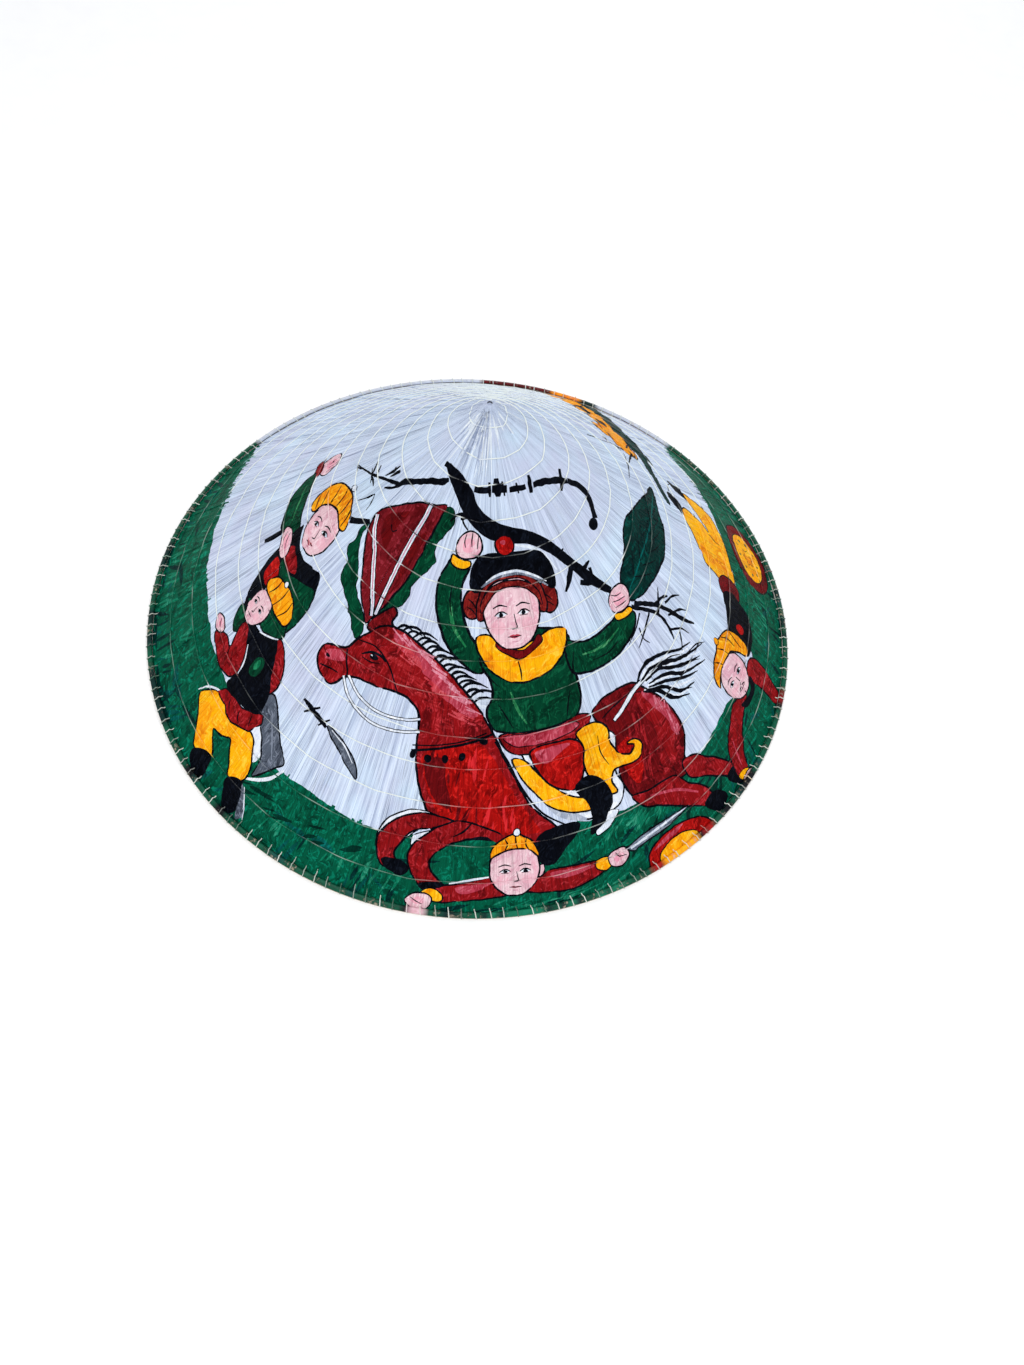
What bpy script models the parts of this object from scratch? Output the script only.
"""Conical palm-leaf hat (non la type) with bamboo hoops, sewn leaf segments, whipped rim and chin strap.

Metres, +Z up. Origin: centre of the rim circle, on the plane the rim rests on.
Two thread loops hang inside the hat, at either end of the X axis. The chin strap joins them as a
level half circle on the -Y side.
"""

import math

import bmesh
import bpy
from mathutils import Matrix, Vector

# ---- driving dimensions (metres) ----------------------------------------------------------------
RIM_OUTER_RADIUS = 0.205  # outer edge of the outer rim hoop
CONE_RADIUS = 0.2016  # reference cone of the leaf layer, radius at z = 0
CONE_HEIGHT = 0.1827  # reference cone, height of its apex
TIP_HEIGHT = 0.1845  # tip of the gathered leaf ends

FACETS = 48  # flat facets around the cone
COARSE_STEPS = FACETS // 2  # for the small rings near the apex
COLUMN = math.tau / FACETS  # angle of one facet

SLOPE = math.atan2(CONE_HEIGHT, CONE_RADIUS)
SIN, COS, TAN = math.sin(SLOPE), math.cos(SLOPE), math.tan(SLOPE)

# Leaves. Each spans its columns of facets, with the last one over its neighbour's first.
LEAF_THICKNESS = 0.00030
LEAF_GAP = 0.00025
OUTER_LEAVES = 16
OUTER_COLUMNS = 4
INNER_LEAVES = 8
INNER_COLUMNS = 7
LINING_OFFSET = -0.00095  # of the lining leaves from the reference cone
LEAF_TOP_RADIUS = 0.0046
LEAF_FOOT_Z = 0.0019

# Hoops and stitch rows
HOOP_SECTION = 0.0018  # split-bamboo hoop, square in section, flat against the lining
HOOP_FACE = -0.0012  # offset of its upper face from the reference cone
LOOP_HOOP = 12  # number of the hoop that carries the strap loops
LOOP_HOOP_DROP = 0.0006  # it stands off the lining by this, so the loops pass behind it
FINE_HOOP_RADIUS = 0.130  # wider hoops have a step for every facet
# Radius of each hoop and its stitch row, as a share of the rim radius, from the apex down.
ROW_SHARE = (
    0.045, 0.100, 0.147, 0.213, 0.277, 0.340, 0.411,
    0.474, 0.546, 0.622, 0.685, 0.7625, 0.841, 0.920,
)
THREAD_RADIUS = 0.00035
THREAD_CLEARANCE = 0.00015
FINE_STITCH_RADIUS = 0.075  # wider stitch rows have a step for every facet

# Rim hoops
RIM_FOOT_Z = 0.0009  # underside of the inner rim hoop; the outer one reaches down to z = 0
RIM_FOOT_WIDTH = 0.0024  # flat ring the hat rests on
RIM_EDGE_TOP_Z = RIM_FOOT_Z + 0.0008  # top of the outer hoop's upright edge
RIM_THICKNESS = 0.0020
RIM_TOP_OUTER = 0.1983  # reference-cone radius at the upper edge of the outer rim hoop
RIM_TOP_INNER = 0.1950
RIM_OUTER_FACE = 0.00155  # offsets of the rim hoops' faces on the leaf side
RIM_INNER_FACE = -0.00125
RIM_INNER_BACK = RIM_INNER_FACE - RIM_THICKNESS

# Rim thread, and the slits and notches it passes through
WHIP_RADIUS = 0.00025
WHIP_FOOT_Z = 0.00045
WHIP_STANDOFF = 0.00045  # thread's centre line outside the rim
NOTCH_LENGTH = 0.008  # notches in the outer rim hoop's underside, where the thread crosses it
NOTCH_WIDTH = 0.0012
NOTCH_DEPTH = 0.0010
NOTCH_INSET = 0.001  # middle of the notch cutter inside the rim's edge
SLIT_WIDTH = 0.0018
SLIT_TOP_RADIUS = 0.1930
SLIT_FOOT_RADIUS = CONE_RADIUS + 0.004
SLIT_CUTTER_HEIGHT = 0.008

# Chin strap and its loops
STRAP_PIVOT_Z = 0.0354
STRAP_RADIUS = 0.138  # the strap's centre line is a half circle
STRAP_WIDTH = 0.014
STRAP_THICKNESS = 0.0010
LOOP_X = 0.145
LOOP_RADIUS = 0.0016
LOOP_THREAD = 0.00025
NECK_RADIUS = 0.0009
KNOT_RADIUS = 0.0021

# Base colours
BAMBOO = (0.62, 0.44, 0.24)
LEAF = (0.56, 0.60, 0.72)
LINING = (0.66, 0.56, 0.38)
THREAD = (0.78, 0.80, 0.72)
RIBBON = (0.45, 0.03, 0.04)
CUTTER_GREY = (0.5, 0.5, 0.5)


# ---- places on the cone, as (x, z) in the XZ plane ----------------------------------------------
def on_cone(radius, offset=0.0):
    """The point at this radius on the reference cone, moved along the outward normal."""
    return radius + offset * SIN, CONE_HEIGHT - radius * TAN + offset * COS


def at_height(z, offset):
    """The point on the offset cone at height z."""
    radius = (CONE_HEIGHT + offset * COS - z) / TAN
    return radius + offset * SIN, z


def column_lift(columns):
    """Rise of a leaf per facet, so that its last facet clears its neighbour's first."""
    return (LEAF_THICKNESS + LEAF_GAP) / (columns - 1) / COS


# ---- scene and shared builders ------------------------------------------------------------------
for old in list(bpy.data.objects):
    bpy.data.objects.remove(old, do_unlink=True)

hat = bpy.data.collections.new("conical_hat")
cutters = bpy.data.collections.new("cutters")
bpy.context.scene.collection.children.link(hat)
bpy.context.scene.collection.children.link(cutters)

rim_centre = bpy.data.objects.new("rim_centre", None)
hat.objects.link(rim_centre)
strap_pivot = bpy.data.objects.new("strap_pivot", None)
strap_pivot.location = (0.0, 0.0, STRAP_PIVOT_Z)
strap_pivot.parent = rim_centre
hat.objects.link(strap_pivot)


def material(name, colour, roughness):
    made = bpy.data.materials.new(name)
    made.use_nodes = True
    shader = made.node_tree.nodes["Principled BSDF"]
    shader.inputs["Base Color"].default_value = (*colour, 1.0)
    shader.inputs["Roughness"].default_value = roughness
    made.diffuse_color = (*colour, 1.0)
    return made


def add(name, data, colour, roughness, collection=hat, parent=rim_centre):
    """An object with its own material, held by the object so that leaves can share a mesh."""
    obj = bpy.data.objects.new(name, data)
    collection.objects.link(obj)
    obj.parent = parent
    if not data.materials:
        data.materials.append(None)
    slot = obj.material_slots[0]
    slot.link = "OBJECT"
    slot.material = material(name, colour, roughness)
    return obj


def mesh_from(name, shape):
    mesh = bpy.data.meshes.new(name)
    shape.to_mesh(mesh)
    shape.free()
    return mesh


def profile_mesh(name, points, closed=True):
    """A profile in the XZ plane, as edges for the Screw modifier."""
    shape = bmesh.new()
    verts = [shape.verts.new((x, 0.0, z)) for x, z in points]
    for first, second in zip(verts, verts[1:]):
        shape.edges.new((first, second))
    if closed:
        shape.edges.new((verts[-1], verts[0]))
    return mesh_from(name, shape)


def add_screw(obj, name, angle, steps):
    screw = obj.modifiers.new(name, "SCREW")
    screw.axis = "Z"
    screw.angle = angle
    screw.steps = screw.render_steps = steps
    screw.use_smooth_shade = True
    return screw


def turned(name, points, steps, colour, roughness, closed=True):
    """A ring or turned solid: the profile runs down its outer side."""
    obj = add(name, profile_mesh(name, points, closed), colour, roughness)
    screw = add_screw(obj, "turn", math.tau, steps)
    screw.use_merge_vertices = True
    screw.merge_threshold = 0.00001
    return obj


def cut_with(obj, name, cutter):
    cut = obj.modifiers.new(name, "BOOLEAN")
    cut.operation = "DIFFERENCE"
    cut.object = cutter


def spaced_boxes(name, centre, tilt, size):
    """A cutter: one box over the middle of each facet of the rim."""
    boxes = bmesh.new()
    for turn in range(FACETS):
        where = (
            Matrix.Rotation((turn + 0.5) * math.tau / FACETS, 4, "Z")
            @ Matrix.Translation((centre[0], 0.0, centre[1]))
            @ Matrix.Rotation(tilt, 4, "Y")
            @ Matrix.Diagonal((*size, 1.0))
        )
        bmesh.ops.create_cube(boxes, size=1.0, matrix=where)
    cutter = add(
        name,
        mesh_from(name, boxes),
        CUTTER_GREY,
        roughness=0.5,
        collection=cutters,
        parent=None,
    )
    cutter.hide_render = True
    cutter.display_type = "WIRE"
    return cutter


def wire(name, points, radius):
    """A closed thread along a polyline, square in section."""
    curve = bpy.data.curves.new(name, "CURVE")
    curve.dimensions = "3D"
    curve.bevel_depth = radius
    curve.bevel_resolution = 0
    spline = curve.splines.new("POLY")
    spline.points.add(len(points) - 1)
    for point, place in zip(spline.points, points):
        point.co = (*place, 1.0)
    spline.use_cyclic_u = True
    return add(name, curve, THREAD, roughness=0.4)


# ---- bamboo hoops under the lining --------------------------------------------------------------
def hoop_profile(radius, top):
    """Square section, two faces parallel to the cone, listed down the outer side first."""
    half = HOOP_SECTION / 2
    bottom = top - HOOP_SECTION
    profile = []
    for along, offset in ((-half, top), (half, top), (half, bottom), (-half, bottom)):
        x, z = on_cone(radius, offset)
        profile.append((x + along * COS, z - along * SIN))
    return profile


def build_hoops():
    for number, share in enumerate(ROW_SHARE, start=1):
        radius = share * RIM_OUTER_RADIUS
        top = HOOP_FACE - (LOOP_HOOP_DROP if number == LOOP_HOOP else 0.0)
        steps = FACETS if radius > FINE_HOOP_RADIUS else COARSE_STEPS
        turned(f"hoop_{number:02d}", hoop_profile(radius, top), steps, BAMBOO, roughness=0.55)


# ---- rim hoops, either side of the leaves -------------------------------------------------------
def build_rim_hoops():
    outer_profile = [
        on_cone(RIM_TOP_OUTER, RIM_OUTER_FACE),
        on_cone(RIM_TOP_OUTER, RIM_OUTER_FACE + RIM_THICKNESS),
        (RIM_OUTER_RADIUS, RIM_EDGE_TOP_Z),
        (RIM_OUTER_RADIUS, 0.0),
        (RIM_OUTER_RADIUS - RIM_FOOT_WIDTH, 0.0),
        at_height(RIM_FOOT_Z, RIM_OUTER_FACE),
    ]
    inner_profile = [
        on_cone(RIM_TOP_INNER, RIM_INNER_FACE),
        at_height(RIM_FOOT_Z, RIM_INNER_FACE),
        at_height(RIM_FOOT_Z, RIM_INNER_BACK),
        on_cone(RIM_TOP_INNER, RIM_INNER_BACK),
    ]
    outer = turned("rim_hoop_outer", outer_profile, FACETS, BAMBOO, roughness=0.5)
    turned("rim_hoop_inner", inner_profile, FACETS, BAMBOO, roughness=0.5)

    notches = spaced_boxes(
        "rim_notches",
        centre=(RIM_OUTER_RADIUS - NOTCH_INSET, 0.0),
        tilt=0.0,
        size=(NOTCH_LENGTH, NOTCH_WIDTH, 2 * NOTCH_DEPTH),
    )
    cut_with(outer, "notches", notches)


# ---- leaf segments ------------------------------------------------------------------------------
def leaf_set(prefix, count, columns, base_offset, slits, colour, roughness):
    """Overlapping conical segments, each rising along its width."""
    profile = [on_cone(LEAF_TOP_RADIUS, base_offset), at_height(LEAF_FOOT_Z, base_offset)]
    mesh = profile_mesh(prefix, profile, closed=False)
    for index in range(count):
        leaf = add(f"{prefix}_{index + 1:02d}", mesh, colour, roughness)
        leaf.rotation_euler.z = index * math.tau / count
        screw = add_screw(leaf, "sweep", columns * COLUMN, columns)
        screw.screw_offset = columns * column_lift(columns)
        solid = leaf.modifiers.new("thickness", "SOLIDIFY")
        solid.thickness = LEAF_THICKNESS
        solid.offset = 1.0
        solid.use_even_offset = True
        cut_with(leaf, "slits", slits)


def build_leaves():
    # Slits in the leaves' feet let the rim thread through.
    slits = spaced_boxes(
        "rim_slits",
        centre=on_cone((SLIT_TOP_RADIUS + SLIT_FOOT_RADIUS) / 2),
        tilt=SLOPE,
        size=((SLIT_FOOT_RADIUS - SLIT_TOP_RADIUS) / COS, SLIT_WIDTH, SLIT_CUTTER_HEIGHT),
    )
    leaf_set("leaf", OUTER_LEAVES, OUTER_COLUMNS, LEAF_GAP, slits, LEAF, roughness=0.35)
    leaf_set(
        "lining_leaf", INNER_LEAVES, INNER_COLUMNS, LINING_OFFSET, slits, LINING, roughness=0.65
    )


# ---- stitch rows: one ring of sewing thread over each hoop --------------------------------------
def build_stitch_rows():
    leaf_top = LEAF_GAP + OUTER_COLUMNS * column_lift(OUTER_COLUMNS) * COS + LEAF_THICKNESS
    offset = leaf_top + THREAD_CLEARANCE + THREAD_RADIUS
    normal = math.pi / 2 - SLOPE
    corner_angles = [normal - corner * math.tau / 3 for corner in range(3)]
    for number, share in enumerate(ROW_SHARE, start=1):
        radius = share * RIM_OUTER_RADIUS
        steps, clear = FACETS, 0.0
        if radius <= FINE_STITCH_RADIUS:
            # A coarse ring stands further out, so that its chords clear the finer facets.
            steps = COARSE_STEPS
            clear = radius * (1 - math.cos(math.pi / COARSE_STEPS))
        x, z = on_cone(radius, offset + clear)
        section = [
            (x + THREAD_RADIUS * math.cos(angle), z + THREAD_RADIUS * math.sin(angle))
            for angle in corner_angles
        ]
        turned(f"stitch_row_{number:02d}", section, steps, THREAD, roughness=0.4)


# ---- gathered leaf ends at the apex -------------------------------------------------------------
# Radius, depth below the tip
GATHER_PROFILE = (
    (0.0, 0.0), (0.0012, 0.0008), (0.0029, 0.0028), (0.0032, 0.0040),
    (0.0032, 0.0140), (0.0024, 0.0190), (0.0031, 0.0250), (0.0, 0.0262),
)


def build_apex_gather():
    profile = [(radius, TIP_HEIGHT - depth) for radius, depth in GATHER_PROFILE]
    turned("apex_gather", profile, 12, LEAF, roughness=0.5, closed=False)


# ---- whipped rim thread -------------------------------------------------------------------------
def on_facet(x, z, turn):
    """The point over the middle of a facet, where the chord lies inside the circle."""
    angle = (turn + 0.5) * math.tau / FACETS
    radius = x * math.cos(COLUMN / 2)
    return Vector((radius * math.cos(angle), radius * math.sin(angle), z))


def build_whipping():
    top_x, top_z = on_cone(RIM_TOP_OUTER, RIM_OUTER_FACE + RIM_THICKNESS)
    low_x, low_z = on_cone(RIM_TOP_INNER, RIM_INNER_BACK)
    foot_x, _ = at_height(RIM_FOOT_Z, RIM_INNER_BACK)
    outside_x = RIM_OUTER_RADIUS + WHIP_STANDOFF
    # Up outside, over both hoops and down inside. The small shifts clear the hoops' corners.
    path = (
        (outside_x, WHIP_FOOT_Z),
        (outside_x, RIM_FOOT_Z + 0.0011),
        (top_x - 0.0001, top_z + 0.00105),
        (low_x - 0.00145, low_z + 0.00125),
        (foot_x - 0.0009, WHIP_FOOT_Z - 0.0001),
    )
    # Then slanting under the hollow to a point just inside the next notch.
    next_x = RIM_OUTER_RADIUS - RIM_FOOT_WIDTH - 0.0006
    points = []
    for turn in range(FACETS):
        points += [on_facet(x, z, turn) for x, z in path]
        points.append(on_facet(next_x, WHIP_FOOT_Z, turn + 1))
    wire("rim_whipping", points, WHIP_RADIUS)


# ---- strap loops: an eye of thread hung from the loop hoop --------------------------------------
EYE_GAP = math.radians(35)  # half the opening at the top of the eye, where its two strands rise
EYE_STEPS = 12
STRAND_Y = 0.0010  # each strand's distance from the X axis
STRAND_FOOT = 0.0032  # foot of the strands, above the pivot
# Distance down the slope and out along the normal from the hoop's centre, and y
AROUND_HOOP = (
    (-0.00125, -0.0008, -STRAND_Y),
    (-0.00125, 0.0012, -0.0005),
    (0.00125, 0.0012, 0.0005),
    (0.00125, -0.0008, STRAND_Y),
)


def build_strap_loops():
    hoop_x, hoop_z = on_cone(
        ROW_SHARE[LOOP_HOOP - 1] * RIM_OUTER_RADIUS,
        HOOP_FACE - LOOP_HOOP_DROP - HOOP_SECTION / 2,
    )
    points = []
    for step in range(EYE_STEPS + 1):
        angle = math.pi / 2 - EYE_GAP - step * (math.tau - 2 * EYE_GAP) / EYE_STEPS
        y = LOOP_RADIUS * math.cos(angle)
        points.append((LOOP_X, y, STRAP_PIVOT_Z + LOOP_RADIUS * math.sin(angle)))
    points.append((LOOP_X, -STRAND_Y, STRAP_PIVOT_Z + STRAND_FOOT))
    for along, out, y in AROUND_HOOP:
        points.append((hoop_x + along * COS + out * SIN, y, hoop_z - along * SIN + out * COS))
    points += [
        (LOOP_X + 0.006, STRAND_Y, STRAP_PIVOT_Z + 0.0031),
        (LOOP_X, STRAND_Y, STRAP_PIVOT_Z + STRAND_FOOT),
    ]
    wire("strap_loop_right", points, LOOP_THREAD)
    wire("strap_loop_left", [(-x, -y, z) for x, y, z in points], LOOP_THREAD)


# ---- chin strap: a band that narrows to a round neck and ends in a knot behind each loop --------
# The +X end, from the knot's far side inwards. Columns: x from LOOP_X, y, x and y of the
# thickness direction, half width, half thickness, roundness
STRAP_END = (
    (0.0046, 0.0, 0.0, -1.0, 0.0009, 0.0009, 1.0),
    (0.0038, 0.0, 0.0, -1.0, 0.0018, 0.0018, 1.0),
    (0.0026, 0.0, 0.0, -1.0, KNOT_RADIUS, KNOT_RADIUS, 1.0),
    (0.0014, 0.0, 0.0, -1.0, 0.0018, 0.0018, 1.0),
    (0.0007, 0.0, 0.0, -1.0, NECK_RADIUS, NECK_RADIUS, 1.0),
    (-0.0022, 0.0, 0.0, -1.0, NECK_RADIUS, NECK_RADIUS, 1.0),
    # The neck turns towards -Y, into the band.
    (-0.0036, -0.0014, 0.71, -0.71, 0.00095, 0.00095, 1.0),
    (-0.0048, -0.0070, 0.98, -0.20, 0.0019, 0.00085, 0.6),
)
BAND_STEPS = 20  # divisions of the half circle
BAND_TAPER = {1: 0.55, 2: 0.90}  # steps from the nearer end: share of the full width
# Shares of the half thickness and half width at which the band's bevelled corners start
BEVEL_THICK = 0.55
BEVEL_WIDE = 0.94


def octagon(centre, across, half_wide, half_thick, roundness):
    """Eight corners, width along Z: an ellipse at roundness 1, a bevelled rectangle at 0."""
    up = Vector((0.0, 0.0, 1.0))
    ring = []
    for index in range(8):
        angle = math.tau * (index + 0.5) / 8
        c, s = math.cos(angle), math.sin(angle)
        thick_box = math.copysign(1.0 if abs(c) > abs(s) else BEVEL_THICK, c)
        wide_box = math.copysign(1.0 if abs(s) > abs(c) else BEVEL_WIDE, s)
        thick_round, wide_round = c / math.cos(math.pi / 8), s / math.cos(math.pi / 8)
        thick = half_thick * (roundness * thick_round + (1 - roundness) * thick_box)
        wide = half_wide * (roundness * wide_round + (1 - roundness) * wide_box)
        ring.append(centre + across * thick + up * wide)
    return ring


def end_section(station, side):
    """A section of the strap's end on the +X (side 1) or -X (side -1) side."""
    x, y, across_x, across_y, half_wide, half_thick, roundness = station
    centre = Vector((side * (LOOP_X + x), y, 0.0))
    across = Vector((side * across_x, across_y, 0.0))
    return octagon(centre, across, half_wide, half_thick, roundness)


def band_section(step):
    angle = math.pi * step / BAND_STEPS
    outward = Vector((math.cos(angle), -math.sin(angle), 0.0))
    taper = BAND_TAPER.get(min(step, BAND_STEPS - step), 1.0)
    return octagon(
        outward * STRAP_RADIUS, outward, STRAP_WIDTH / 2 * taper, STRAP_THICKNESS / 2, 0.0
    )


def build_chin_strap():
    sections = [end_section(station, 1) for station in STRAP_END]
    sections += [band_section(step) for step in range(1, BAND_STEPS)]
    sections += [end_section(station, -1) for station in reversed(STRAP_END)]

    shape = bmesh.new()
    rings = [[shape.verts.new(corner) for corner in section] for section in sections]
    for first, second in zip(rings, rings[1:]):
        for index in range(8):
            following = (index + 1) % 8
            shape.faces.new((first[index], first[following], second[following], second[index]))
    shape.faces.new(rings[0])
    shape.faces.new(rings[-1])
    bmesh.ops.recalc_face_normals(shape, faces=shape.faces)
    mesh = mesh_from("chin_strap", shape)
    add("chin_strap", mesh, RIBBON, roughness=0.4, parent=strap_pivot)


build_hoops()
build_rim_hoops()
build_leaves()
build_stitch_rows()
build_apex_gather()
build_whipping()
build_strap_loops()
build_chin_strap()
